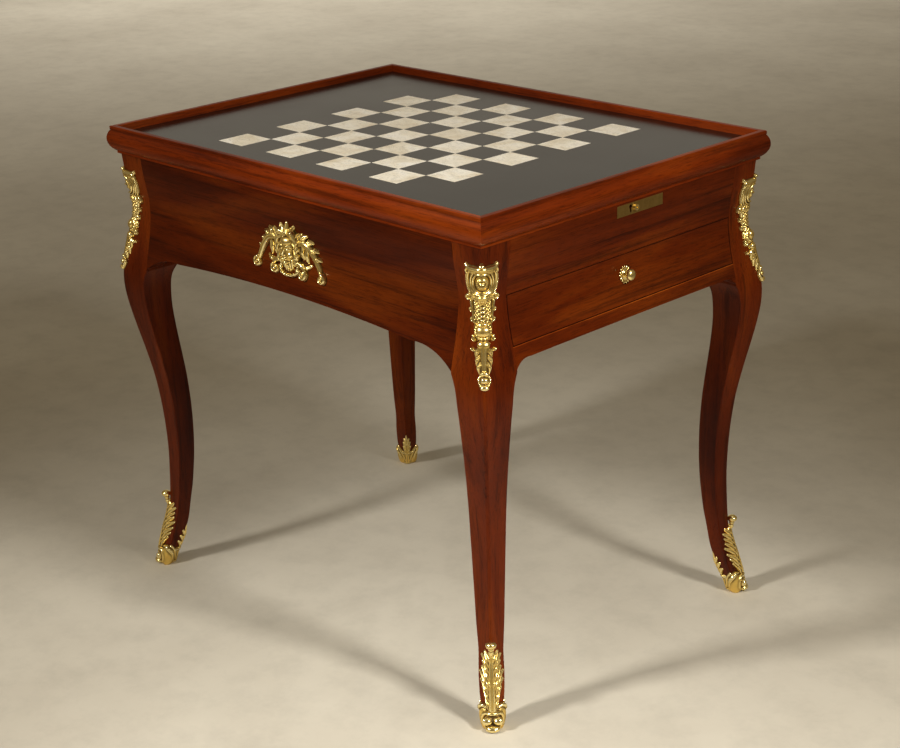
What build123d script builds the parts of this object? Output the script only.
# Tric trac table in the Louis XV manner: a lift-off moulded tray with a chessboard,
# a sunk tric trac well under it, a drawer in the right end, cabriole legs, gilt mounts.
# Millimetres. +X is the end with the drawer, -Y is the long front, +Z is up.
# The origin is on the floor under the middle of the table.
from build123d import *
import os
from math import atan, cos, degrees, pi, sin, sqrt

# Overall sizes
table_height = 750.0
top_length = 803.0
top_width = 596.0
frieze_setback = 10.5
cut_overrun = 30.0
glue_gap = 0.2
sliding_gap = 0.5

# Moulded rim of the tray
moulding_height = 43.0
moulding_bulge = 4.5
bulge_level_share = 0.53
top_fillet_height = 5.5
top_fillet_round = 1.6
ovolo_quirk = 1.0
bottom_fillet_height = 4.5
bottom_fillet_setback = 6.0
ovolo_foot_setback = 4.6
rim_flat = 10.0
rim_slope = 2.0
panel_ledge = 3.0
board_drop = 10.5
tray_rest_gap = 0.3
tray_lift_clearance = 1.5
mitre_tongue_thickness = 4.0
mitre_tongue_width = 5.0
mitre_tongue_length = 12.0

# Chessboard panel
panel_thickness = 12.0
square_size = 56.1
squares_per_side = 8
square_thickness = 1.4
inlay_gap = 0.06
batten_thickness = 14.0
batten_drop = 8.0
batten_inset = 4.0
batten_end_gap = 8.0

# Legs: heights are shares of the stand height, as all heights in the frieze are;
# the rest are shares of the stile width
stile_width = 52.0
leg_corner_radius = 4.0
leg_edge_radius = 1.5
leg_stations = 24
foot_stations = 9
foot_share = 0.17
leg_outer_shares = [
    (0.000, -0.016), (0.028, -0.026), (0.054, -0.070), (0.085, -0.145), (0.116, -0.232),
    (0.147, -0.305), (0.177, -0.336), (0.212, -0.359), (0.297, -0.391), (0.389, -0.351),
    (0.474, -0.247), (0.545, -0.093), (0.608, 0.066), (0.658, 0.176), (0.700, 0.230),
    (0.735, 0.212), (0.771, 0.121), (0.806, 0.002), (0.849, -0.110), (0.891, -0.150),
    (0.934, -0.085), (0.970, 0.000), (1.000, 0.030),
]
leg_inner_shares = [
    (0.000, 0.310), (0.028, 0.413), (0.054, 0.538), (0.085, 0.650), (0.116, 0.742),
    (0.147, 0.798), (0.177, 0.852), (0.212, 0.913), (0.297, 1.004), (0.389, 1.025),
    (0.474, 0.981), (0.545, 0.900), (0.608, 0.827), (0.658, 0.794), (0.693, 0.808),
    (0.714, 0.846), (0.735, 0.915), (0.750, 1.012), (0.771, 1.250), (0.800, 1.270), (1.000, 1.270),
]
ear_height_share = 0.749

# Frieze: aprons and rails
apron_thickness = 22.0
apron_stations = 9
front_arch_share = 0.7949
front_arch_spring_rise = 9.0
side_arch_share = 0.7659
side_arch_spring_rise = 0.6
front_ear_length = 80.0
side_ear_length = 29.0
front_ear_bulge_share = 0.10
side_ear_bulge_share = 0.14
tenon_length = 24.0
tenon_thickness = 10.0
tenon_inset = 8.0
tenon_shoulder = 7.0
border_rebate = 4.0

# Tric trac well
well_floor_share = 0.8967
well_floor_thickness = 8.0
floor_groove_depth = 6.0
border_thickness = 10.0
band_thickness = 8.0
border_lip = 2.0
bar_width = 12.0
bar_height = 34.0
points_per_half = 6
point_margin = 3.0
point_width = 46.0
point_length = 188.0
point_thickness = 1.2
peg_hole_radius = 2.2
peg_hole_depth = 7.0
peg_ring_radius = 4.2
peg_ring_height = 2.0
end_peg_holes = 3
end_peg_spacing = 60.0

# Drawer
drawer_bottom_share = 0.7914
drawer_top_share = 0.8911
drawer_front_thickness = 20.0
drawer_length = 372.0
drawer_side_thickness = 9.0
drawer_side_drop = 1.0
drawer_panel_thickness = 5.0
drawer_panel_rise = 8.0
drawer_groove_depth = 3.5
tail_count = 3
tail_length = 12.0
tail_root_width = 11.0
tail_flare = 2.5
runner_thickness = 14.0
runner_width = 30.0
runner_bearing = 22.0
guide_height = 16.0
cross_rail_thickness = 20.0
cross_rail_top_gap = 6.0
cross_rail_housing = 5.0
cross_rail_rise = 4.0

# Knob of the drawer
knob_height_share = 0.8487
knob_projection = 16.5
rosette_radius = 11.0
rosette_thickness = 2.6
rosette_seat_depth = 0.8
petal_count = 14
petal_radius = 2.2
knob_radius = 8.4
knob_flat_share = 0.6
knob_neck_radius = 4.0
spindle_radius = 2.5
spindle_tail = 1.0
nut_radius = 6.5
nut_thickness = 4.0
pin_gap = 0.05

# Lock in the rail above the drawer
keyhole_offset = 3.0
keyhole_height_share = 0.983
plate_length = 97.0
plate_height = 16.5
plate_thickness = 2.0
plate_keyhole_share = 0.29
keyhole_radius = 3.0
keyhole_slot_width = 3.0
keyhole_slot_length = 8.0
stud_offset = 10.0
stud_radius = 4.2
stud_bore = 2.0
stud_projection = 3.4
plate_pin_radius = 1.2
plate_pin_length = 9.0
plate_pin_margin = 4.0
lock_setback = 5.0
lock_depth = 13.0
lock_length = 62.0
lock_height = 44.0
lock_wall = 1.6
selvedge_length = 78.0
selvedge_thickness = 2.0
bolt_length = 18.0
bolt_thickness = 5.0
bolt_height = 30.0
bolt_offset = 20.0
bolt_gap = 0.1
bolt_travel = 8.0
strike_length = 44.0
strike_width = 13.0
strike_clearance = 1.3
screw_radius = 1.6
screw_bite = 8.0
screw_head_radius = 2.8
screw_head_thickness = 1.0

# Corner mounts: heights are shares of the mount height from its foot,
# widths are shares of its half width, reliefs shares of its relief
mount_top_share = 0.9660
mount_height = 163.0
mount_half_width = 25.0
mount_relief = 6.0
mount_gap = 0.3
mount_outline_shares = [
    (0.000, 0.25, 0.50), (0.025, 0.29, 0.95), (0.065, 0.30, 0.80), (0.090, 0.26, 0.50),
    (0.130, 0.30, 0.75), (0.190, 0.46, 0.85), (0.250, 0.42, 0.75), (0.290, 0.78, 0.55),
    (0.315, 0.78, 0.55), (0.330, 0.34, 0.50), (0.355, 0.34, 0.55), (0.385, 0.50, 0.85),
    (0.440, 0.60, 1.00), (0.500, 0.62, 0.75), (0.560, 0.64, 0.60), (0.640, 0.62, 0.60),
    (0.675, 0.70, 0.70), (0.700, 0.90, 0.75), (0.730, 0.80, 0.90), (0.790, 0.90, 1.00),
    (0.880, 0.94, 1.00), (0.930, 0.90, 0.80), (0.965, 0.98, 0.75), (1.000, 0.88, 0.50),
]
mount_pin_shares = (0.30, 0.93)
pin_radius = 1.0
pin_length = 12.0
pin_head_radius = 2.0
pin_head_height = 1.0

# Sabots
sabot_sole = 4.0
sabot_wall = 2.8
sabot_cup_height = 26.0
sabot_gap = 0.2
sabot_stations = 6
leaf_foot_share = 0.75
leaf_top = 106.0
leaf_half_width = 17.0
leaf_relief = 5.6
leaf_outline_shares = [
    (0.000, 0.80, 0.90), (0.150, 0.72, 0.90), (0.300, 0.80, 1.00), (0.450, 0.95, 1.00),
    (0.620, 1.00, 1.10), (0.640, 0.62, 1.00), (0.700, 0.55, 0.90), (0.800, 0.72, 1.00),
    (0.920, 0.88, 1.10), (0.975, 0.86, 1.00), (1.000, 0.42, 0.90),
]
heel_leaf_top = 67.0
heel_half_width = 9.0
heel_relief = 3.6
heel_outline_shares = [(0.000, 1.25, 1.00), (0.350, 1.00, 1.00), (0.700, 0.70, 1.00), (1.000, 0.30, 0.80)]
toe_length = 15.4
toe_height = 33.0
toe_width = 13.0
toe_outline_shares = [
    (-1.00, 0.06), (0.35, 0.06), (0.84, 0.38), (1.00, 0.62), (0.60, 0.90), (0.00, 1.04), (-1.00, 1.06),
]
volute_radius = 7.0
volute_width = 3.5
volute_length_share = 0.42
volute_height_share = 0.56
finial_radius = 4.6
finial_height = 121.0
finial_stand_off = 3.2
finial_neck_radius = 2.2
sabot_pin_share = 0.55

# Mask on the frieze
mask_centre_share = 0.8897
mask_half_width = 76.0
mask_half_height = 40.0
mask_backing = 5.0
mask_head_width = 23.0
mask_head_height = 31.0
mask_head_relief = 13.0
mask_head_drop_share = 0.10
mask_pin_shares = (0.58, 0.16)
mask_outline_shares = [
    (0.00, 1.00), (0.14, 0.86), (0.24, 0.97), (0.30, 0.74), (0.44, 0.70), (0.42, 0.46),
    (0.60, 0.40), (0.80, 0.14), (0.95, -0.30), (1.00, -0.68), (0.92, -0.86), (0.80, -0.76),
    (0.78, -0.40), (0.64, -0.08), (0.46, 0.02), (0.36, -0.22), (0.46, -0.62), (0.40, -0.92),
    (0.26, -0.88), (0.16, -0.70), (0.00, -1.00),
]

# Places that follow from the sizes above
stand_height = table_height - moulding_height
half_length = top_length / 2 - frieze_setback
half_width = top_width / 2 - frieze_setback
joint_x = half_length - stile_width
joint_y = half_width - stile_width
apron_inner_x = half_length - apron_thickness
apron_inner_y = half_width - apron_thickness
ear_height = ear_height_share * stand_height
front_arch_height = front_arch_share * stand_height
side_arch_height = side_arch_share * stand_height
well_floor_height = well_floor_share * stand_height
drawer_bottom_height = drawer_bottom_share * stand_height
drawer_top_height = drawer_top_share * stand_height
knob_height = knob_height_share * stand_height
keyhole_height = keyhole_height_share * stand_height
mount_top = mount_top_share * stand_height
mask_centre_height = mask_centre_share * stand_height
well_floor_top = well_floor_height + well_floor_thickness
border_bottom = stand_height - border_thickness
band_inner_x = joint_x - glue_gap - band_thickness
band_inner_y = joint_y - glue_gap - band_thickness
board_height = table_height - board_drop
panel_bottom = board_height - panel_thickness
rim_width = rim_flat + rim_slope + panel_ledge
drawer_inner_x = half_length - drawer_front_thickness
drawer_back_x = half_length - drawer_length
drawer_half_width = joint_y - sliding_gap
leg_foot = sabot_sole + sabot_gap

CORNERS = {"front_right": (1, -1), "front_left": (-1, -1), "back_left": (-1, 1), "back_right": (1, 1)}


def read_curve(knots, share):
    """Smooth curve through the knots, read at one share of its length."""
    last = len(knots) - 2
    index = 0
    while index < last and share > knots[index + 1][0]:
        index += 1
    (a, value_a), (b, value_b) = knots[index], knots[index + 1]
    before = knots[max(index - 1, 0)]
    after = knots[min(index + 2, last + 1)]
    slope_a = (value_b - before[1]) / (b - before[0])
    slope_b = (after[1] - value_a) / (after[0] - a)
    span = b - a
    t = (share - a) / span
    blend = t * t * (3 - 2 * t)
    ease = t * (1 - t) * span
    return value_a + (value_b - value_a) * blend + ease * (slope_a * (1 - t) - slope_b * t)


def swell(height):
    """How far the leg's outer faces and the frieze stand out of the frieze plane."""
    return stile_width * read_curve(leg_outer_shares, height / stand_height)


def inner_depth(height):
    """How far the leg's inner faces lie behind the frieze plane."""
    return stile_width * read_curve(leg_inner_shares, height / stand_height)


def box_between(x0, x1, y0, y1, z0, z1):
    centre = Pos((x0 + x1) / 2, (y0 + y1) / 2, (z0 + z1) / 2)
    return centre * Box(x1 - x0, y1 - y0, z1 - z0)


def prism(edges, direction):
    return Solid.extrude(Face(Wire(edges)), Vector(direction))


def polygon_prism(points, direction):
    closed = list(points) + [points[0]]
    edges = [Edge.make_line(Vector(*a), Vector(*b)) for a, b in zip(closed, closed[1:])]
    return prism(edges, direction)


def rod(start, direction, radius, length):
    """Round bar from a point along a direction."""
    bar = Cylinder(radius, length, align=(Align.CENTER, Align.CENTER, Align.MIN))
    return Plane(origin=start, z_dir=direction) * bar


def at_corner(shape, side_x, side_y):
    """Carries a shape made at the +X +Y corner to another corner."""
    if side_x < 0:
        shape = shape.mirror(Plane.YZ)
    if side_y < 0:
        shape = shape.mirror(Plane.XZ)
    return shape


def save(name, shapes):
    """Writes one named node, a single solid or a group of separate ones."""
    group = shapes if isinstance(shapes, list) else [shapes]
    solids = [solid for shape in group for solid in shape.solids()]
    node = solids[0] if len(solids) == 1 else Compound(solids)
    node.label = name
    export_step(node, "parts/" + name + ".step")


# Legs

def leg_wire(height, offset=0.0):
    """Square leg section with a round outer corner and eased edges."""
    x1 = half_length + swell(height) + offset
    y1 = half_width + swell(height) + offset
    x0 = half_length - inner_depth(height) - offset
    y0 = half_width - inner_depth(height) - offset
    corners = [(x1, y1, 1, 1, leg_corner_radius), (x0, y1, -1, 1, leg_edge_radius),
               (x0, y0, -1, -1, leg_edge_radius), (x1, y0, 1, -1, leg_edge_radius)]
    arcs = []
    for index, (x, y, sx, sy, radius) in enumerate(corners):
        cx = x - sx * radius
        cy = y - sy * radius
        middle = Vector(cx + sx * radius / sqrt(2), cy + sy * radius / sqrt(2), height)
        ends = [Vector(x, cy, height), Vector(cx, y, height)]
        if index % 2:
            ends.reverse()
        arcs.append(Edge.make_three_point_arc(ends[0], middle, ends[1]))
    edges = []
    for arc, following in zip(arcs, arcs[1:] + arcs[:1]):
        edges.append(arc)
        edges.append(Edge.make_line(arc @ 1, following @ 0))
    return Wire(edges)


def leg_blank(offset):
    """Whole leg before it is cut, grown by an offset; the foot has the closer stations."""
    foot_top = foot_share * stand_height
    foot = [leg_foot + (foot_top - leg_foot) * step / foot_stations for step in range(foot_stations)]
    rest = [foot_top + (stand_height - foot_top) * step / leg_stations for step in range(leg_stations + 1)]
    heights = [leg_foot - offset] + foot[1:] + rest
    return Solid.make_loft([leg_wire(height, offset) for height in heights])


def make_leg(side_x):
    """Cabriole leg with its stile and the mortises of the two frieze members."""
    leg = leg_blank(0)
    far = cut_overrun + stile_width
    stile_foot = ear_height - tenon_shoulder
    leg -= box_between(joint_x - far, joint_x, joint_y - far, half_width + far, stile_foot, table_height)
    leg -= box_between(joint_x - far, half_length + far, joint_y - far, joint_y, stile_foot, table_height)
    x_edge = half_length - tenon_inset
    y_edge = half_width - tenon_inset
    for low, high in tenon_heights("long"):
        leg -= box_between(joint_x - glue_gap, joint_x + tenon_length + glue_gap,
                           y_edge - tenon_thickness - glue_gap, y_edge + glue_gap,
                           low - glue_gap, high + glue_gap)
    for low, high in tenon_heights("drawer end" if side_x > 0 else "plain end"):
        leg -= box_between(x_edge - tenon_thickness - glue_gap, x_edge + glue_gap, joint_y - glue_gap,
                           joint_y + tenon_length + glue_gap, low - glue_gap, high + glue_gap)
    return leg


def tenon_heights(place):
    """Lowest and highest level of each tenon of a frieze member."""
    low = ear_height + tenon_shoulder
    high = stand_height - tenon_shoulder
    if place == "drawer end":
        return [(ear_height + tenon_shoulder / 2, drawer_bottom_height - tenon_shoulder / 2),
                (drawer_top_height + tenon_shoulder, high)]
    return [(low, high)]


# Frieze, made facing +X and turned to its side

def frieze_blank(face, half_span, low, high, thickness):
    """Curved board behind the frieze line, from one level to another."""
    levels = [low + (high - low) * step / (apron_stations - 1) for step in range(apron_stations)]
    outline = Edge.make_spline([Vector(face + swell(level), -half_span, level) for level in levels])
    back = face - thickness
    edges = [outline,
             Edge.make_line(outline @ 1, Vector(back, -half_span, high)),
             Edge.make_line(Vector(back, -half_span, high), Vector(back, -half_span, low)),
             Edge.make_line(Vector(back, -half_span, low), outline @ 0)]
    return prism(edges, (0, 2 * half_span, 0))


def arch_cutter(face, half_span, crown, spring_rise, ear_length, bulge_share):
    """Space under an arched lower edge with an eared spring at each leg."""
    x = face - apron_thickness - cut_overrun
    bottom = ear_height - cut_overrun
    spring = half_span - ear_length
    level = crown - spring_rise
    chord = Vector(ear_length, ear_height - level)
    bulge = bulge_share * chord.length

    def ear(side):
        start = Vector(x, side * spring, level)
        end = Vector(x, side * half_span, ear_height)
        rise = chord.X / chord.length * bulge
        out = -chord.Y / chord.length * bulge
        middle = (start + end) * 0.5 + Vector(0, side * out, rise)
        return Edge.make_three_point_arc(start, middle, end)

    crown_points = [Vector(x, -spring, level), Vector(x, 0, crown), Vector(x, spring, level)]
    crown_arc = Edge.make_three_point_arc(*crown_points)
    reach = half_span + cut_overrun
    ends = [Vector(x, side * reach, z) for side in (1, -1) for z in (ear_height, bottom)]
    edges = [ear(-1), crown_arc, ear(1),
             Edge.make_line(Vector(x, half_span, ear_height), ends[0]),
             Edge.make_line(ends[0], ends[1]),
             Edge.make_line(ends[1], ends[3]),
             Edge.make_line(ends[3], ends[2]),
             Edge.make_line(ends[2], Vector(x, -half_span, ear_height))]
    return prism(edges, (apron_thickness + 2 * cut_overrun + stile_width, 0, 0))


def tenons(face, half_span, heights):
    outer = face - tenon_inset
    tip = half_span + tenon_length
    solids = []
    for low, high in heights:
        solids.append(box_between(outer - tenon_thickness, outer, half_span, tip, low, high))
        solids.append(box_between(outer - tenon_thickness, outer, -tip, -half_span, low, high))
    return solids


def well_grooves(face, half_span):
    """Rebate for the border boards and groove for the well floor."""
    inner = face - apron_thickness
    rebate = box_between(inner - cut_overrun, inner + border_rebate, -half_span - cut_overrun,
                         half_span + cut_overrun, border_bottom, stand_height + cut_overrun)
    groove = box_between(inner - cut_overrun, inner + floor_groove_depth, -half_span - cut_overrun,
                         half_span + cut_overrun, well_floor_height - glue_gap, well_floor_top + glue_gap)
    return rebate + groove


def make_long_apron():
    """Front or back apron, made facing +X."""
    half_span = joint_x
    apron = frieze_blank(half_width, half_span, ear_height, stand_height, apron_thickness)
    apron -= arch_cutter(half_width, half_span, front_arch_height, front_arch_spring_rise,
                         front_ear_length, front_ear_bulge_share)
    apron -= well_grooves(half_width, half_span)
    for tenon in tenons(half_width, half_span, tenon_heights("long")):
        apron += tenon
    housing_end = apron_inner_y + cross_rail_housing + glue_gap
    apron -= box_between(apron_inner_y - cut_overrun, housing_end,
                         -cross_rail_front_x - glue_gap, -cross_rail_back_x + glue_gap,
                         cross_rail_shoulder - glue_gap, cross_rail_top + glue_gap)
    return apron


def make_plain_end():
    apron = frieze_blank(half_length, joint_y, ear_height, stand_height, apron_thickness)
    apron -= arch_cutter(half_length, joint_y, side_arch_height, side_arch_spring_rise,
                         side_ear_length, side_ear_bulge_share)
    apron -= well_grooves(half_length, joint_y)
    for tenon in tenons(half_length, joint_y, tenon_heights("plain end")):
        apron += tenon
    return apron


def make_lock_rail():
    """Fixed board above the drawer, cut for the lock, its plate and its pins."""
    rail = frieze_blank(half_length, joint_y, drawer_top_height, stand_height, apron_thickness)
    rail -= well_grooves(half_length, joint_y)
    for tenon in tenons(half_length, joint_y, tenon_heights("drawer end")[1:]):
        rail += tenon
    rail -= box_between(plate_back_x - glue_gap, half_length + cut_overrun, plate_low_y - glue_gap,
                        plate_high_y + glue_gap, plate_low_z - glue_gap, plate_high_z + glue_gap)
    rail -= box_between(lock_back_x - glue_gap, lock_front_x + glue_gap, lock_low_y - glue_gap,
                        lock_high_y + glue_gap, lock_low_z - glue_gap, stand_height + cut_overrun)
    rail -= box_between(lock_back_x - glue_gap, lock_front_x + glue_gap, selvedge_low_y - glue_gap,
                        selvedge_high_y + glue_gap, stand_height - selvedge_thickness - glue_gap,
                        stand_height + cut_overrun)
    rail -= keyhole_cutter(lock_front_x - glue_gap)
    for place in plate_pin_places():
        rail -= rod((plate_back_x + cut_overrun, *place), (-1, 0, 0), plate_pin_radius + pin_gap,
                    cut_overrun + plate_pin_length + glue_gap)
    return rail


def make_drawer_rail():
    rail = frieze_blank(half_length, joint_y, ear_height, drawer_bottom_height, apron_thickness)
    rail -= arch_cutter(half_length, joint_y, side_arch_height, side_arch_spring_rise,
                        side_ear_length, side_ear_bulge_share)
    for tenon in tenons(half_length, joint_y, tenon_heights("drawer end")[:1]):
        rail += tenon
    return rail


# Lock, its plate and its bolt

plate_low_y = keyhole_offset - plate_keyhole_share * plate_length
plate_high_y = plate_low_y + plate_length
plate_low_z = keyhole_height - plate_height / 2
plate_high_z = keyhole_height + plate_height / 2
plate_front_x = half_length + swell(keyhole_height) + inlay_gap
plate_back_x = plate_front_x - plate_thickness
lock_front_x = half_length - lock_setback
lock_back_x = lock_front_x - lock_depth
lock_low_y = keyhole_offset - lock_length / 3
lock_high_y = lock_low_y + lock_length
lock_low_z = stand_height - selvedge_thickness - lock_height
selvedge_low_y = (lock_low_y + lock_high_y - selvedge_length) / 2
selvedge_high_y = selvedge_low_y + selvedge_length
bolt_low_y = keyhole_offset + bolt_offset - bolt_length / 2
bolt_high_y = bolt_low_y + bolt_length
bolt_mid_x = (lock_front_x + lock_back_x) / 2
bolt_top_z = stand_height - glue_gap
bolt_low_z = bolt_top_z - bolt_height


def keyhole_cutter(from_x):
    """Keyhole from one depth out through the plate: a round hole over a slot."""
    reach = plate_front_x + cut_overrun - from_x
    slot_top = keyhole_height + keyhole_slot_length / 3
    half_slot = keyhole_slot_width / 2
    hole = rod((from_x, keyhole_offset, slot_top), (1, 0, 0), keyhole_radius, reach)
    slot = box_between(from_x, from_x + reach, keyhole_offset - half_slot, keyhole_offset + half_slot,
                       slot_top - keyhole_slot_length, slot_top)
    return hole + slot


def plate_pin_places():
    return [(y, z) for y in (plate_low_y + plate_pin_margin, plate_high_y - plate_pin_margin)
            for z in (plate_low_z + plate_pin_margin, plate_high_z - plate_pin_margin)]


def make_lock_plate():
    plate = box_between(plate_back_x, plate_front_x, plate_low_y, plate_high_y, plate_low_z, plate_high_z)
    plate -= keyhole_cutter(plate_back_x - cut_overrun)
    plate -= rod((plate_back_x - cut_overrun, keyhole_offset + stud_offset, keyhole_height), (1, 0, 0),
                 stud_radius - stud_bore / 2 + pin_gap, 2 * cut_overrun)
    for place in plate_pin_places():
        start = (plate_back_x - cut_overrun, *place)
        plate -= rod(start, (1, 0, 0), plate_pin_radius + pin_gap, 2 * cut_overrun)
    return plate


def make_lock_stud():
    """Short brass tube beside the keyhole, with a flange on the plate."""
    origin_y = keyhole_offset + stud_offset
    flange = rod((plate_front_x, origin_y, keyhole_height), (1, 0, 0), stud_radius, stud_projection)
    shank = rod((plate_back_x, origin_y, keyhole_height), (1, 0, 0), stud_radius - stud_bore / 2,
                plate_thickness + stud_projection)
    bore = rod((plate_front_x - plate_thickness / 2, origin_y, keyhole_height), (1, 0, 0), stud_bore,
               stud_projection + plate_thickness)
    return flange + shank - bore


def make_lock_case():
    """Iron box let into the rail from above, with the selvedge that the bolt rises through."""
    case = box_between(lock_back_x, lock_front_x, lock_low_y, lock_high_y, lock_low_z, stand_height)
    case += box_between(lock_back_x, lock_front_x, selvedge_low_y, selvedge_high_y,
                        stand_height - selvedge_thickness, stand_height)
    case -= box_between(lock_back_x + lock_wall, lock_front_x - lock_wall, lock_low_y + lock_wall,
                        lock_high_y - lock_wall, lock_low_z + lock_wall,
                        stand_height - selvedge_thickness - lock_wall)
    half_slot = bolt_thickness / 2 + bolt_gap
    case -= box_between(bolt_mid_x - half_slot, bolt_mid_x + half_slot, bolt_low_y - bolt_gap,
                        bolt_high_y + bolt_gap, bolt_low_z, stand_height + cut_overrun)
    case -= keyhole_cutter(lock_front_x - lock_wall - inlay_gap)
    return case


def make_bolt():
    return box_between(bolt_mid_x - bolt_thickness / 2, bolt_mid_x + bolt_thickness / 2,
                       bolt_low_y, bolt_high_y, bolt_low_z, bolt_top_z)


# Tric trac well

point_pitch = (band_inner_x - bar_width / 2) / points_per_half


def point_places():
    """Every point: its middle along X, its side of the well and its colour."""
    places = []
    for half in (-1, 1):
        for step in range(points_per_half):
            x = half * (bar_width / 2 + point_pitch * (step + 1 / 2))
            for side in (-1, 1):
                dark = (step + (half > 0) + (side > 0)) % 2 == 0
                places.append((x, side, dark))
    return places


def point_prism(x, side, grow, depth):
    base = side * (band_inner_y - point_margin)
    tip = base - side * point_length
    top = well_floor_top
    outline = [(x - point_width / 2 - grow, base + side * grow, top),
               (x + point_width / 2 + grow, base + side * grow, top), (x, tip - side * grow, top)]
    return polygon_prism(outline, (0, 0, -depth))


def make_points(colour):
    """All the dark or all the light points of the well."""
    return [point_prism(x, side, 0, point_thickness) for x, side, dark in point_places() if dark == colour]


def make_well_floor():
    floor_x = apron_inner_x + floor_groove_depth - glue_gap
    floor_y = apron_inner_y + floor_groove_depth - glue_gap
    floor = box_between(-floor_x, floor_x, -floor_y, floor_y, well_floor_height, well_floor_top)
    for side_x in (-1, 1):
        for side_y in (-1, 1):
            corner = box_between(joint_x - glue_gap, half_length, joint_y - glue_gap, half_width,
                                 well_floor_height - cut_overrun, well_floor_top + cut_overrun)
            floor -= at_corner(corner, side_x, side_y)
    for x, side, dark in point_places():
        floor -= point_prism(x, side, inlay_gap, point_thickness)
    return floor


def make_long_band(side):
    outer = joint_y - glue_gap
    return box_between(-joint_x + glue_gap, joint_x - glue_gap, min(side * outer, side * band_inner_y),
                       max(side * outer, side * band_inner_y), well_floor_top, border_bottom)


def make_end_band(side):
    outer = joint_x - glue_gap
    reach = band_inner_y - glue_gap
    return box_between(min(side * outer, side * band_inner_x), max(side * outer, side * band_inner_x),
                       -reach, reach, well_floor_top, border_bottom)


def peg_places():
    """Peg hole centres on the four border boards."""
    row_y = (band_inner_y + joint_y + border_rebate) / 2
    row_x = (band_inner_x + joint_x + border_rebate) / 2
    middle = (end_peg_holes - 1) / 2
    long_rows = {}
    end_rows = {}
    for side in (-1, 1):
        long_rows[side] = [(x, side * row_y) for x, at, dark in point_places() if at == side]
        end_rows[side] = [(side * row_x, (step - middle) * end_peg_spacing) for step in range(end_peg_holes)]
    return long_rows, end_rows


def drill_pegs(board, places):
    for x, y in places:
        above = (x, y, stand_height + cut_overrun)
        board -= rod(above, (0, 0, -1), peg_hole_radius, cut_overrun + peg_hole_depth)
        board -= rod(above, (0, 0, -1), peg_ring_radius + inlay_gap, cut_overrun + peg_ring_height)
    return board


def make_peg_rings():
    rings = []
    for rows in peg_places():
        for places in rows.values():
            for x, y in places:
                above = (x, y, stand_height + cut_overrun)
                ring = rod((x, y, stand_height), (0, 0, -1), peg_ring_radius, peg_ring_height)
                rings.append(ring - rod(above, (0, 0, -1), peg_hole_radius, 2 * cut_overrun))
    return rings


def make_long_border(side):
    outer = apron_inner_y + border_rebate - glue_gap
    inner = band_inner_y - border_lip
    board = box_between(-joint_x + glue_gap, joint_x - glue_gap, min(side * inner, side * outer),
                        max(side * inner, side * outer), border_bottom, stand_height)
    return drill_pegs(board, peg_places()[0][side])


def make_end_border(side):
    outer = apron_inner_x + border_rebate - glue_gap
    inner = band_inner_x - border_lip
    narrow = band_inner_y - border_lip - glue_gap
    board = box_between(min(side * inner, side * outer), max(side * inner, side * outer), -narrow, narrow,
                        border_bottom, stand_height)
    board += box_between(min(side * joint_x, side * outer), max(side * joint_x, side * outer),
                         -joint_y + glue_gap, joint_y - glue_gap, border_bottom, stand_height)
    return drill_pegs(board, peg_places()[1][side])


def make_centre_bar():
    reach = band_inner_y - glue_gap
    return box_between(-bar_width / 2, bar_width / 2, -reach, reach,
                       well_floor_top, well_floor_top + bar_height)


# Drawer carriage inside the table

cross_rail_front_x = drawer_back_x - glue_gap
cross_rail_back_x = cross_rail_front_x - cross_rail_thickness
cross_rail_shoulder = front_arch_height + cross_rail_rise
cross_rail_top = well_floor_height - cross_rail_top_gap
runner_low_z = drawer_bottom_height - runner_thickness
runner_inner_y = joint_y - runner_bearing
runner_outer_y = runner_inner_y + runner_width


def make_runner(side):
    """Rebated bearer under a drawer side, notched round the stile; the high part guides the drawer."""
    back = cross_rail_front_x + glue_gap
    wide = box_between(back, joint_x - glue_gap, runner_inner_y, runner_outer_y,
                       runner_low_z, drawer_bottom_height)
    narrow = box_between(joint_x - glue_gap - cut_overrun, apron_inner_x - glue_gap, runner_inner_y,
                         joint_y - glue_gap, runner_low_z, drawer_bottom_height)
    guide = box_between(back, joint_x - glue_gap, joint_y, runner_outer_y, runner_low_z,
                        drawer_bottom_height + guide_height)
    runner = wide + narrow + guide
    return runner if side > 0 else runner.mirror(Plane.XZ)


def make_cross_rail():
    """Board across the table behind the drawer, housed in both long aprons."""
    reach = apron_inner_y + cross_rail_housing
    rail = box_between(cross_rail_back_x, cross_rail_front_x, -reach, reach,
                       cross_rail_shoulder, cross_rail_top)
    rail += box_between(cross_rail_back_x, cross_rail_front_x, -runner_outer_y, runner_outer_y,
                        runner_low_z, cross_rail_top)
    return rail


# Drawer

drawer_low_z = drawer_bottom_height + sliding_gap
drawer_high_z = drawer_top_height - sliding_gap
side_low_z = drawer_bottom_height + tray_rest_gap
side_high_z = drawer_high_z - drawer_side_drop
side_inner_y = drawer_half_width - drawer_side_thickness
panel_low_z = drawer_bottom_height + drawer_panel_rise
panel_high_z = panel_low_z + drawer_panel_thickness
knob_lean = swell(knob_height - rosette_radius) - swell(knob_height + rosette_radius)
knob_tilt = atan(knob_lean / (2 * rosette_radius))
knob_axis = (cos(knob_tilt), 0, sin(knob_tilt))
knob_seat = (half_length + swell(knob_height) - rosette_seat_depth, 0, knob_height)
nut_distance = (knob_seat[0] - drawer_inner_x + inlay_gap + nut_radius * sin(knob_tilt)) / cos(knob_tilt)


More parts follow.
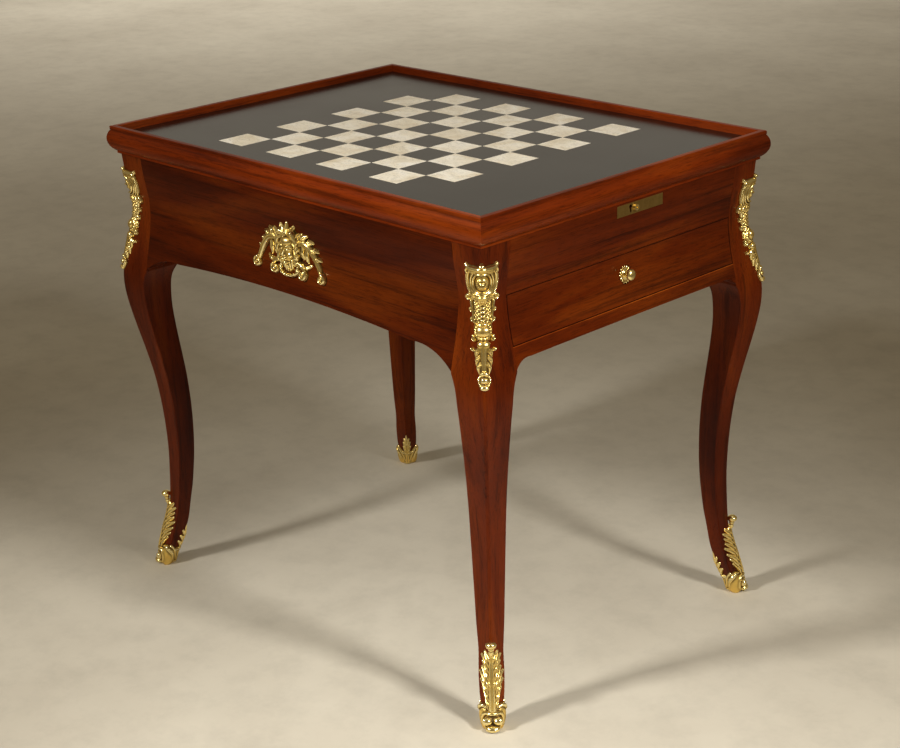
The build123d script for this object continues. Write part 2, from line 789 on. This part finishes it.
def tail_outlines(grow):
    """Dovetails of a drawer side, in the plane of the side."""
    span = (side_high_z - side_low_z) / tail_count
    outlines = []
    for step in range(tail_count):
        middle = side_low_z + span * (step + 1 / 2)
        root = tail_root_width / 2 + grow
        tip = tail_root_width / 2 + tail_flare + grow
        back = drawer_inner_x - grow - glue_gap
        front = drawer_inner_x + tail_length + grow
        outlines.append([(back, middle - root), (front, middle - tip),
                         (front, middle + tip), (back, middle + root)])
    return outlines


def tails(side, grow, y0, y1):
    solids = []
    for outline in tail_outlines(grow):
        points = [(x, side * y0, z) for x, z in outline]
        solids.append(polygon_prism(points, (0, side * (y1 - y0), 0)))
    return solids


def along_knob(distance):
    return tuple(start + distance * step for start, step in zip(knob_seat, knob_axis))


def make_drawer_front():
    front = frieze_blank(half_length, drawer_half_width, drawer_low_z, drawer_high_z,
                         drawer_front_thickness)
    for side in (-1, 1):
        for tail in tails(side, inlay_gap, side_inner_y - inlay_gap, drawer_half_width + cut_overrun):
            front -= tail
    front -= box_between(drawer_inner_x - cut_overrun, drawer_inner_x + drawer_groove_depth, -side_inner_y,
                         side_inner_y, panel_low_z - glue_gap, panel_high_z + glue_gap)
    front -= rod(knob_seat, knob_axis, rosette_radius + petal_radius + glue_gap, cut_overrun)
    front -= rod(along_knob(-2 * cut_overrun), knob_axis, spindle_radius + pin_gap, 3 * cut_overrun)
    return front


def make_drawer_side(side):
    board = box_between(drawer_back_x, drawer_inner_x - glue_gap, side_inner_y, drawer_half_width,
                        side_low_z, side_high_z)
    board -= box_between(drawer_back_x - cut_overrun, drawer_inner_x + cut_overrun,
                         side_inner_y - cut_overrun, side_inner_y + drawer_groove_depth,
                         panel_low_z - glue_gap, panel_high_z + glue_gap)
    board -= box_between(drawer_back_x - cut_overrun, drawer_back_x + drawer_side_thickness + glue_gap,
                         side_inner_y - cut_overrun, side_inner_y + drawer_groove_depth,
                         panel_high_z, side_high_z + cut_overrun)
    board = board if side > 0 else board.mirror(Plane.XZ)
    for tail in tails(side, 0, side_inner_y, drawer_half_width):
        board += tail
    return board


def make_drawer_back():
    reach = side_inner_y + drawer_groove_depth - glue_gap
    return box_between(drawer_back_x, drawer_back_x + drawer_side_thickness, -reach, reach,
                       panel_high_z + glue_gap, side_high_z)


def make_drawer_bottom():
    reach = side_inner_y + drawer_groove_depth - glue_gap
    tongue = side_inner_y - glue_gap
    bottom = box_between(drawer_back_x, drawer_inner_x - glue_gap, -reach, reach, panel_low_z, panel_high_z)
    bottom += box_between(drawer_inner_x - cut_overrun, drawer_inner_x + drawer_groove_depth - glue_gap,
                          -tongue, tongue, panel_low_z, panel_high_z)
    return bottom


def make_rosette():
    """Petalled brass back plate in its shallow seat."""
    rosette = rod(knob_seat, knob_axis, rosette_radius, rosette_thickness)
    seat = Plane(origin=knob_seat, z_dir=knob_axis)
    for step in range(petal_count):
        angle = 2 * pi * step / petal_count
        petal = Cylinder(petal_radius, rosette_thickness, align=(Align.CENTER, Align.CENTER, Align.MIN))
        rosette += seat * Pos(rosette_radius * cos(angle), rosette_radius * sin(angle), 0) * petal
    return rosette - rod(along_knob(-cut_overrun), knob_axis, spindle_radius + pin_gap, 2 * cut_overrun)


def make_knob():
    """Turned brass knob with its neck and spindle in one piece."""
    neck_start = rosette_thickness + inlay_gap
    flat = knob_radius * knob_flat_share
    head_middle = knob_projection - flat
    head = Sphere(knob_radius)
    head -= box_between(-knob_radius, knob_radius, -knob_radius, knob_radius, flat, knob_radius)
    head = Plane(origin=along_knob(head_middle), z_dir=knob_axis) * head
    neck = rod(along_knob(neck_start), knob_axis, knob_neck_radius, head_middle - neck_start)
    tail = nut_distance + nut_thickness + spindle_tail
    spindle = rod(along_knob(-tail), knob_axis, spindle_radius, tail + neck_start + inlay_gap)
    return head + neck + spindle


def make_knob_nut():
    start = along_knob(-nut_distance - nut_thickness)
    nut = Plane(origin=start, z_dir=knob_axis) * extrude(RegularPolygon(nut_radius, 6), nut_thickness)
    return nut - rod(along_knob(-2 * cut_overrun), knob_axis, spindle_radius + pin_gap, 2 * cut_overrun)


# Tray

def rim_section(face, start):
    """Rim outline in the plane across the member, facing +X."""
    base = stand_height + tray_rest_gap
    top = table_height
    fillet_foot = top - top_fillet_height
    bulge_level = base + (moulding_height - tray_rest_gap) * bulge_level_share

    def at(out, level):
        return Vector(face + out, start, level)

    lip = -rim_flat - rim_slope
    corners = [at(-bottom_fillet_setback, base), at(-rim_width, base),
               at(-rim_width, panel_bottom - glue_gap), at(lip, panel_bottom - glue_gap),
               at(lip, board_height), at(-rim_flat, top - top_fillet_round),
               at(-rim_flat + top_fillet_round, top), at(-top_fillet_round, top)]
    edges = [Edge.make_line(a, b) for a, b in zip(corners, corners[1:])]
    shoulder = at(0, top - top_fillet_round)
    turn = top_fillet_round * (1 - 1 / sqrt(2))
    edges.append(Edge.make_three_point_arc(corners[-1], at(-turn, top - turn), shoulder))
    fillet_bottom = at(0, fillet_foot)
    quirk = at(-ovolo_quirk, fillet_foot)
    ovolo_foot = at(-ovolo_foot_setback, base + bottom_fillet_height)
    fillet_top = at(-bottom_fillet_setback, base + bottom_fillet_height)
    edges.append(Edge.make_line(shoulder, fillet_bottom))
    edges.append(Edge.make_line(fillet_bottom, quirk))
    edges.append(Edge.make_three_point_arc(quirk, at(moulding_bulge, bulge_level), ovolo_foot))
    edges.append(Edge.make_line(ovolo_foot, fillet_top))
    edges.append(Edge.make_line(fillet_top, corners[0]))
    return edges


def make_rim_member(along, across):
    """Rim member facing +X, mitred at both ends; along is half its own length."""
    reach = along + moulding_bulge + ovolo_quirk
    member = prism(rim_section(across, -reach), (0, 2 * reach, 0))
    depth = rim_width + moulding_bulge + ovolo_quirk
    outer = across + moulding_bulge + ovolo_quirk
    mitre = [(outer, -reach, stand_height), (outer, reach, stand_height),
             (outer - depth - cut_overrun, reach - depth - cut_overrun, stand_height),
             (outer - depth - cut_overrun, -reach + depth + cut_overrun, stand_height)]
    member = member & polygon_prism(mitre, (0, 0, table_height))
    for side in (1, -1):
        member -= mitre_tongue(across, side * along, side, glue_gap)
    return member


def mitre_tongue(x, y, side, grow):
    """Loose tongue across a mitre, in the lower half of the rim."""
    level = (stand_height + panel_bottom - mitre_tongue_thickness) / 2
    length = mitre_tongue_length + 2 * grow
    tongue = Box(mitre_tongue_width + 2 * grow, length, mitre_tongue_thickness + 2 * grow,
                 align=(Align.CENTER, Align.CENTER, Align.MIN))
    middle = rim_width / 2
    return Pos(x - middle, y - side * middle, level - grow) * Rot(0, 0, side * 45) * tongue


def make_panel():
    reach_x = top_length / 2 - rim_flat - rim_slope - glue_gap
    reach_y = top_width / 2 - rim_flat - rim_slope - glue_gap
    panel = box_between(-reach_x, reach_x, -reach_y, reach_y, panel_bottom, board_height)
    half = square_size / 2 - inlay_gap
    for x, y in light_places():
        panel -= box_between(x - half, x + half, y - half, y + half, board_height - square_thickness,
                             board_height + cut_overrun)
    return panel


def light_places():
    """Middles of the light squares; the square nearest the front left corner is light."""
    first = -(squares_per_side - 1) / 2
    return [((first + column) * square_size, (first + row) * square_size)
            for column in range(squares_per_side) for row in range(squares_per_side)
            if (column + row) % 2 == 0]


def make_light_squares():
    half = square_size / 2 - 2 * inlay_gap
    low = board_height - square_thickness
    return [box_between(x - half, x + half, y - half, y + half, low, board_height)
            for x, y in light_places()]


batten_outer_y = band_inner_y - batten_inset
batten_inner_y = batten_outer_y - batten_thickness
batten_half_length = band_inner_x - batten_end_gap


def make_batten(side):
    batten = box_between(-batten_half_length, batten_half_length, batten_inner_y, batten_outer_y,
                         stand_height - batten_drop, panel_bottom)
    return batten if side > 0 else batten.mirror(Plane.XZ)


strike_low_y = keyhole_offset + bolt_offset - strike_length / 2
strike_high_y = strike_low_y + strike_length
rim_base = stand_height + tray_rest_gap
screw_length = panel_bottom - rim_base + screw_bite


def strike_screw_places():
    margin = (strike_length - bolt_length) / 4
    return [strike_low_y + margin, strike_high_y - margin]


def cut_strike_screw_holes(panel):
    """Blind holes in the underside of the board for the screws of the strike."""
    for y in strike_screw_places():
        panel -= rod((bolt_mid_x, y, rim_base), (0, 0, 1), screw_radius + pin_gap,
                     screw_length + glue_gap)
    return panel


def make_strike():
    """Brass strike block under the board, with the pocket that the bolt rises into."""
    half_slot = bolt_thickness / 2 + strike_clearance
    strike = box_between(bolt_mid_x - strike_width / 2, bolt_mid_x + strike_width / 2,
                         strike_low_y, strike_high_y, rim_base, panel_bottom - glue_gap)
    strike -= box_between(bolt_mid_x - half_slot, bolt_mid_x + half_slot,
                          bolt_low_y - strike_clearance, bolt_high_y + strike_clearance,
                          rim_base - cut_overrun, rim_base + bolt_travel + tray_lift_clearance)
    for y in strike_screw_places():
        below = (bolt_mid_x, y, rim_base - cut_overrun)
        head_depth = cut_overrun + screw_head_thickness + pin_gap
        strike -= rod(below, (0, 0, 1), screw_radius + pin_gap, cut_overrun + screw_length)
        strike -= rod(below, (0, 0, 1), screw_head_radius + pin_gap, head_depth)
    return strike


def make_strike_screws():
    return [rod((bolt_mid_x, y, rim_base), (0, 0, 1), screw_radius, screw_length)
            + rod((bolt_mid_x, y, rim_base), (0, 0, 1), screw_head_radius, screw_head_thickness)
            for y in strike_screw_places()]


# Gilt mounts, made at the +X +Y corner

def band_wire(corner_x, corner_y, out, radius, half, relief, height):
    """Section of metal wrapped round a corner; out is 1 for an outer corner and -1 for an inner one."""
    def at(a, b):
        return Vector(corner_x + out * a, corner_y + out * b, height)

    def round_corner(distance):
        reach = (radius + distance) / sqrt(2) - radius
        return at(reach, reach)

    near = -radius / 2
    far = relief
    inner_arc = Edge.make_three_point_arc(at(near, -radius), round_corner(near), at(-radius, near))
    outer_arc = Edge.make_three_point_arc(at(-radius, far), round_corner(far), at(far, -radius))
    return Wire([Edge.make_line(at(near, -half), at(near, -radius)), inner_arc,
                 Edge.make_line(at(-radius, near), at(-half, near)),
                 Edge.make_line(at(-half, near), at(-half, far)),
                 Edge.make_line(at(-half, far), at(-radius, far)), outer_arc,
                 Edge.make_line(at(far, -radius), at(far, -half)),
                 Edge.make_line(at(far, -half), at(near, -half))])


def corner_metal(stations, low, high, half_width_full, relief_full, out):
    """Metal band round the leg's outer or inner corner; its back still runs into the leg."""
    wires = []
    radius = leg_corner_radius if out > 0 else leg_edge_radius
    for height_share, width_share, relief_share in stations:
        height = low + (high - low) * height_share
        offset = swell(height) if out > 0 else -inner_depth(height)
        wires.append(band_wire(half_length + offset, half_width + offset, out, radius,
                               half_width_full * width_share, relief_full * relief_share, height))
    return Solid.make_loft(wires, ruled=True)


def mount_face(share):
    """Outermost point of the corner mount at one share of its height."""
    stations = [station for station in mount_outline_shares if station[0] <= share][-1:]
    stations += [station for station in mount_outline_shares if station[0] > share][:1]
    ends = []
    for at_share, width, relief in stations:
        height = mount_top - mount_height * (1 - at_share)
        reach = (leg_corner_radius + mount_relief * relief) / sqrt(2) - leg_corner_radius
        out = swell(height) + reach
        ends.append(Vector(half_length + out, half_width + out, height))
    step = (share - stations[0][0]) / (stations[1][0] - stations[0][0])
    return ends[0] + (ends[1] - ends[0]) * step


def mount_pins(grow):
    """Pins through the corner mount into the leg, their heads sunk by half."""
    inward = Vector(-1, -1, 0).normalized()
    pins = []
    for share in mount_pin_shares:
        face = mount_face(share)
        outer = face - inward * pin_head_height / 2
        shank = rod(outer, inward, pin_radius + grow, pin_length + grow)
        pins.append(shank + rod(outer, inward, pin_head_radius + grow, pin_head_height + grow))
    return pins


def make_corner_mount():
    mount = corner_metal(mount_outline_shares, mount_top - mount_height, mount_top, mount_half_width,
                         mount_relief, 1)
    mount -= leg_blank(mount_gap)
    for pin in mount_pins(pin_gap):
        mount -= pin
    return mount


def sabot_pin(grow):
    """Pin through the heel leaf into the leg."""
    height = sabot_cup_height + (heel_leaf_top - sabot_cup_height) * sabot_pin_share
    face = inner_depth(height) - leg_edge_radius + (leg_edge_radius + heel_relief) / sqrt(2)
    start = (half_length - face, half_width - face, height)
    return rod(start, (1, 1, 0), pin_radius + grow, pin_length + grow)


def make_toe():
    """Scrolled toe along the diagonal of the foot, with a volute on each flank."""
    side_plane = Plane(origin=(half_length, half_width, 0), x_dir=(1, 1, 0), z_dir=(1, -1, 0))
    points = [side_plane.from_local_coords(Vector(along * toe_length, up * toe_height, -toe_width / 2))
              for along, up in toe_outline_shares]
    outline = [Edge.make_line(points[0], points[1]), Edge.make_spline(points[1:-1]),
               Edge.make_line(points[-2], points[-1]), Edge.make_line(points[-1], points[0])]
    toe = prism(outline, side_plane.z_dir * toe_width)
    middle = Vector(volute_length_share * toe_length, volute_height_share * toe_height, 0)
    for side in (-1, 1):
        start = side_plane.from_local_coords(middle + Vector(0, 0, side * (toe_width - volute_width) / 2))
        toe += rod(start, side_plane.z_dir * side, volute_radius, volute_width)
    return toe


def make_sabot():
    """Gilt shoe: cup, scrolled toe, leaf with a finial up the corner and a heel leaf."""
    heights = [sabot_cup_height * step / sabot_stations for step in range(sabot_stations + 1)]
    cup = Solid.make_loft([leg_wire(height, sabot_wall) for height in heights])
    leaf_low = sabot_cup_height * leaf_foot_share
    leaf = corner_metal(leaf_outline_shares, leaf_low, leaf_top, leaf_half_width, leaf_relief, 1)
    heel = corner_metal(heel_outline_shares, leaf_low, heel_leaf_top, heel_half_width, heel_relief, -1)
    toe = make_toe()
    neck_corner = swell(leaf_top) - leg_corner_radius * (1 - 1 / sqrt(2))
    neck_out = neck_corner + finial_stand_off
    neck = rod((half_length + neck_out, half_width + neck_out, leaf_top - finial_radius), (0, 0, 1),
               finial_neck_radius, finial_height - leaf_top + finial_radius)
    finial = Pos(half_length + neck_out, half_width + neck_out, finial_height) * Sphere(finial_radius)
    sabot = cup + toe + leaf + heel - leg_blank(sabot_gap) + neck + finial
    return sabot - sabot_pin(pin_gap)


# Mask on each long apron, made facing +X

def mask_slab(near, far):
    """Slab over the hollow of the frieze, between two distances from the wood."""
    low = mask_centre_height - mask_half_height - mount_relief
    high = mask_centre_height + mask_half_height + mount_relief
    levels = [low + (high - low) * step / (apron_stations - 1) for step in range(apron_stations)]
    start = -mask_half_width - cut_overrun
    inner = Edge.make_spline([Vector(half_width + swell(level) + near, start, level) for level in levels])
    outer = Edge.make_spline([Vector(half_width + swell(level) + far, start, level) for level in levels])
    edges = [inner, Edge.make_line(inner @ 1, outer @ 1), outer, Edge.make_line(outer @ 0, inner @ 0)]
    return prism(edges, (0, 2 * (mask_half_width + cut_overrun), 0))


def mask_pins(grow):
    """Pins through the two scrolls of a mask into its apron."""
    x = half_width + swell(mask_centre_height) + mount_relief + mount_gap
    y = mask_half_width * mask_pin_shares[0]
    z = mask_centre_height + mask_half_height * mask_pin_shares[1]
    return [rod((x, side * y, z), (-1, 0, 0), pin_radius + grow, pin_length + grow) for side in (-1, 1)]


def make_mask():
    """Mask with a leafy crown between two drooping scrolls; the head is a plain oval here."""
    right = [(y * mask_half_width, mask_centre_height + z * mask_half_height)
             for y, z in mask_outline_shares]
    left = [(-y, z) for y, z in reversed(right[1:-1])]
    start = half_width - stile_width
    outline = [(start, y, z) for y, z in right + left]
    blank = polygon_prism(outline, (2 * stile_width, 0, 0))
    mask = mask_slab(mount_gap, mount_gap + mask_backing) & blank
    head_height = mask_centre_height - mask_half_height * mask_head_drop_share
    head = scale(Sphere(1), (mask_head_relief, mask_head_width, mask_head_height))
    head = Pos(half_width + swell(head_height) + mount_gap, 0, head_height) * head
    mask += head & mask_slab(mount_gap, mask_head_relief + stile_width)
    for pin in mask_pins(pin_gap):
        mask -= pin
    return mask


def to_front(shape):
    return Rot(0, 0, -90) * shape


def to_back(shape):
    return Rot(0, 0, 90) * shape


def main():
    os.makedirs("parts", exist_ok=True)
    legs = {side_x: make_leg(side_x) for side_x in (-1, 1)}
    mount = make_corner_mount()
    sabot = make_sabot()
    leg_bores = mount_pins(pin_gap) + [sabot_pin(pin_gap)]
    for side_x in legs:
        for bore in leg_bores:
            legs[side_x] -= bore
    pins = [turn(pin) for turn in (to_front, to_back) for pin in mask_pins(0)]
    for name, (side_x, side_y) in CORNERS.items():
        save("leg_" + name, at_corner(legs[side_x], side_x, side_y))
        save("corner_mount_" + name, at_corner(mount, side_x, side_y))
        save("sabot_" + name, at_corner(sabot, side_x, side_y))
        pins += [at_corner(pin, side_x, side_y) for pin in mount_pins(0)]
        pins.append(at_corner(sabot_pin(0), side_x, side_y))

    long_apron = make_long_apron()
    for pin in mask_pins(pin_gap):
        long_apron -= pin
    mask = make_mask()
    save("front_apron", to_front(long_apron.mirror(Plane.XZ)))
    save("back_apron", to_back(long_apron))
    save("front_mask", to_front(mask))
    save("back_mask", to_back(mask))
    save("mount_pins", pins)
    save("left_apron", make_plain_end().mirror(Plane.YZ))
    save("lock_rail", make_lock_rail())
    save("drawer_rail", make_drawer_rail())

    save("lock_plate", make_lock_plate())
    save("lock_plate_pins", [rod((plate_front_x, *place), (-1, 0, 0), plate_pin_radius, plate_pin_length)
                             for place in plate_pin_places()])
    save("lock_stud", make_lock_stud())
    save("lock_case", make_lock_case())
    save("lock_bolt", make_bolt())

    save("well_floor", make_well_floor())
    save("dark_points", make_points(True))
    save("light_points", make_points(False))
    save("centre_bar", make_centre_bar())
    for side, word in ((-1, "front"), (1, "back")):
        save("well_band_" + word, make_long_band(side))
        save("well_border_" + word, make_long_border(side))
        save("drawer_runner_" + word, make_runner(side))
        save("drawer_side_" + word, make_drawer_side(side))
        save("tray_batten_" + word, make_batten(side))
    for side, word in ((-1, "left"), (1, "right")):
        save("well_band_" + word, make_end_band(side))
        save("well_border_" + word, make_end_border(side))
    save("peg_hole_rings", make_peg_rings())
    save("cross_rail", make_cross_rail())

    save("drawer_front", make_drawer_front())
    save("drawer_back", make_drawer_back())
    save("drawer_bottom", make_drawer_bottom())
    save("knob_rosette", make_rosette())
    save("drawer_knob", make_knob())
    save("knob_nut", make_knob_nut())

    long_member = make_rim_member(top_length / 2, top_width / 2)
    end_member = make_rim_member(top_width / 2, top_length / 2)
    save("tray_rim_front", to_front(long_member))
    save("tray_rim_back", to_back(long_member))
    save("tray_rim_left", end_member.mirror(Plane.YZ))
    save("tray_rim_right", end_member)
    tongue = mitre_tongue(top_length / 2, top_width / 2, 1, 0)
    save("mitre_tongues", [at_corner(tongue, *corner) for corner in CORNERS.values()])
    save("tray_panel", cut_strike_screw_holes(make_panel()))
    save("light_squares", make_light_squares())
    save("tray_strike", make_strike())
    save("strike_screws", make_strike_screws())


main()
